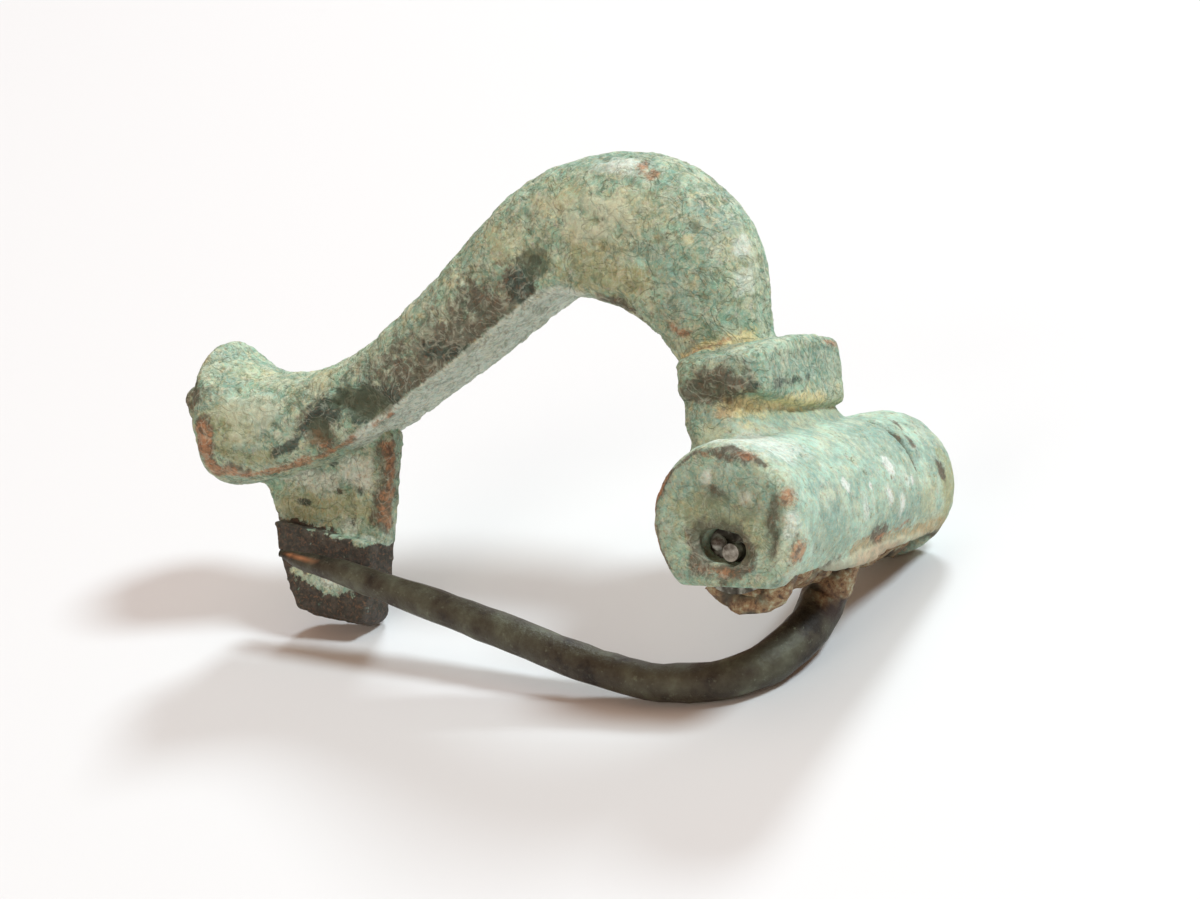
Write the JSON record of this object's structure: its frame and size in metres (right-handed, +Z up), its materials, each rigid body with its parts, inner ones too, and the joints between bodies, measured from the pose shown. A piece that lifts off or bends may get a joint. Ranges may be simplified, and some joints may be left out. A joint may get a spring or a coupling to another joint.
{
  "type": "roman fibula brooch",
  "caption": "Corroded bronze knee brooch with a spring under its cylindrical head and a bent pin, for holding cloth.",
  "frame": {"origin": "centre of the bounding box's underside, on the ground the brooch lies on", "axes": "+X from the foot towards the head, +Y towards the far side, +Z up from the ground"},
  "size_m": [0.0402, 0.0184, 0.0218],
  "materials": {
    "patina_bronze": "matt, pitted pale green patina over bronze",
    "dark_bronze": "dark, slightly glossy bronze wire",
    "worn_bronze": "brown corroded bronze"
  },
  "bodies": {
    "brooch": {"brooch_body": "patina_bronze", "axis_bar": "worn_bronze"},
    "pin": {"pin": "dark_bronze"}
  },
  "joints": [
    {"name": "pin_hinge", "type": "hinge", "parent": "brooch", "child": "pin", "pos_m": [0.01612, -0.00047, 0.00503], "axis": [0.062, -0.929, 0.3648], "range_deg": [0, 25]}
  ]
}
